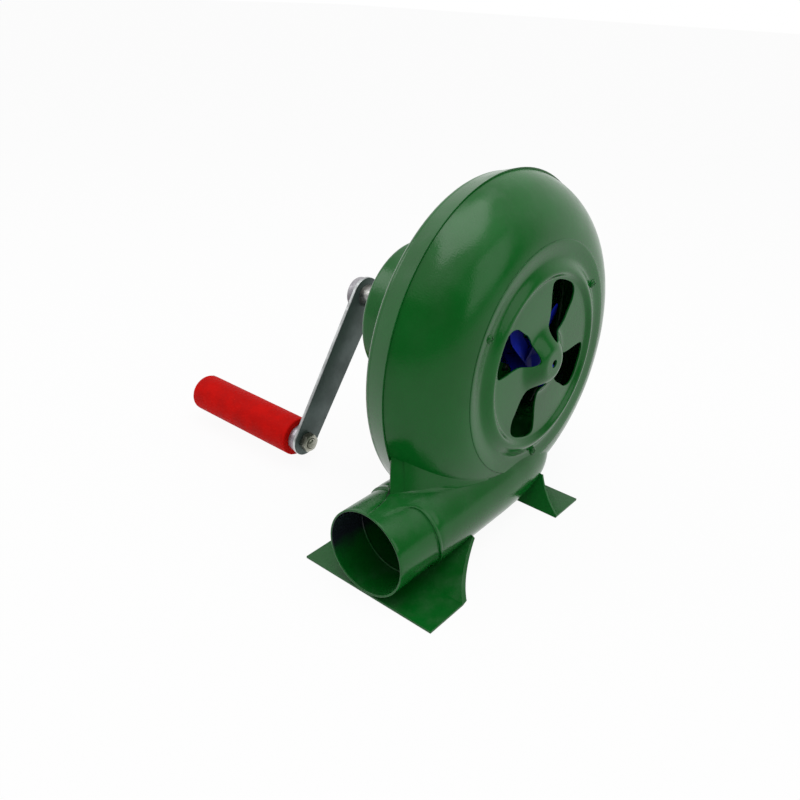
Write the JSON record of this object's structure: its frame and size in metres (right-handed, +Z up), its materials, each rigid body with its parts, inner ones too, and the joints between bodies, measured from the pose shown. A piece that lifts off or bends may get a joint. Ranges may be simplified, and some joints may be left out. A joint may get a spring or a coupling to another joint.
{
  "type": "hand crank blower",
  "caption": "Hand-cranked centrifugal air blower: round pressed housing on two feet, swirl-slot intake, round side outlet, geared crank with a turning grip.",
  "frame": {"origin": "point on the floor under the fan axis, in the plane of the outlet duct's axis", "axes": "+Z up; the outlet blows toward -X; the intake faces -Y; the gear drum and crank are on +Y; the fan and crank axes run along Y"},
  "size_m": [0.2717, 0.3159, 0.2474],
  "materials": {
    "green_enamel": "gloss",
    "plated_steel": "satin",
    "cast_alloy": "cast",
    "gear_steel": "machined",
    "bush_brass": "machined",
    "dark_steel": "satin",
    "blue_plastic": "satin",
    "red_plastic": "satin"
  },
  "bodies": {
    "housing": {"intake_shell": "green_enamel", "intake_cover": "green_enamel", "gear_side_shell": "green_enamel", "outlet_sleeve": "green_enamel", "front_foot": "green_enamel", "rear_foot": "green_enamel", "gear_plate": "plated_steel", "bearing_block": "cast_alloy", "lay_axle": "plated_steel", "lay_clip": "plated_steel", "gear_drum": "green_enamel", "crank_bush": "bush_brass", "face_screw_1": "green_enamel", "face_screw_2": "green_enamel", "face_screw_3": "green_enamel", "block_rivet_1": "plated_steel", "block_rivet_2": "plated_steel", "block_rivet_3": "plated_steel", "drum_screw_1": "plated_steel", "drum_screw_2": "plated_steel", "drum_screw_3": "plated_steel", "drum_screw_4": "plated_steel", "drum_nut_1": "plated_steel", "drum_nut_2": "plated_steel", "drum_nut_3": "plated_steel", "drum_nut_4": "plated_steel", "fan_bush_1": "bush_brass", "fan_bush_2": "bush_brass"},
    "rotor": {"impeller": "blue_plastic", "fan_shaft": "plated_steel", "fan_washer": "plated_steel", "fan_nut": "plated_steel", "fan_pinion": "gear_steel"},
    "layshaft": {"lay_gear": "gear_steel"},
    "crank": {"crank_gear": "gear_steel", "crank_shaft": "plated_steel", "crank_spacer": "plated_steel", "crank_sleeve": "plated_steel", "crank_boss": "plated_steel", "crank_arm": "dark_steel", "handle_bolt": "plated_steel", "handle_nut": "plated_steel", "grip_collar": "plated_steel"},
    "grip": {"red_grip": "red_plastic"}
  },
  "joints": [
    {"name": "crank_spin", "type": "hinge", "parent": "housing", "child": "crank", "pos_m": [0, 0.09, 0.128], "axis": [0, 1, 0], "continuous": true},
    {"name": "layshaft_spin", "type": "hinge", "parent": "housing", "child": "layshaft", "pos_m": [0.02592, 0.068, 0.126], "axis": [0, 1, 0], "continuous": true},
    {"name": "impeller_spin", "type": "hinge", "parent": "housing", "child": "rotor", "pos_m": [0, 0.04, 0.124], "axis": [0, 1, 0], "continuous": true},
    {"name": "grip_spin", "type": "hinge", "parent": "crank", "child": "grip", "pos_m": [-0.06877, 0.2, 0.0241], "axis": [0, 1, 0], "continuous": true}
  ],
  "couplings": [
    {"joint": "layshaft_spin", "follows": "crank_spin", "ratio": -3.3333},
    {"joint": "impeller_spin", "follows": "crank_spin", "ratio": 11.111}
  ]
}
